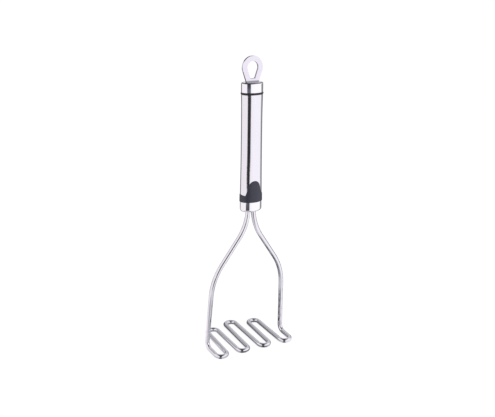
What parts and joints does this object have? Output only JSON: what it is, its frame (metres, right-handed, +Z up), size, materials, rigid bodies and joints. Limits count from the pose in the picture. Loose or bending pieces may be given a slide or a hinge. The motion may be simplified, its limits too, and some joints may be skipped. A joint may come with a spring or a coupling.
{
  "type": "potato masher",
  "caption": "Wire potato masher: a bent rod zigzag head on two arms, an oval steel handle with black collar and ring, and a flat hanging loop.",
  "frame": {"origin": "on the table, under the middle of the head's outline", "axes": "+Z up the handle, +X along the row of runs, -Y the side that carries the two feet's short runs (the front)"},
  "size_m": [0.0882, 0.0662, 0.2888],
  "materials": {
    "wire_steel": "bright polished rod",
    "polished_steel": "mirror polished",
    "satin_steel": "fine satin, near polished",
    "stamped_steel": "satin faces with darker sheared edges",
    "pin_steel": "plain drawn",
    "collar_black": "charcoal, soft sheen",
    "ring_rubber": "smooth black rubber",
    "inner_plastic": "plain moulded"
  },
  "bodies": {
    "root": {"masher_wire": "wire_steel", "bottom_ferrule": "polished_steel", "grip_collar": "collar_black", "handle_tube": "satin_steel", "seal_ring": "ring_rubber", "end_cap": "polished_steel", "hanging_loop": "stamped_steel", "cap_plug": "inner_plastic", "loop_pin": "pin_steel", "tang_core": "inner_plastic", "tang_pin": "pin_steel"}
  },
  "joints": []
}
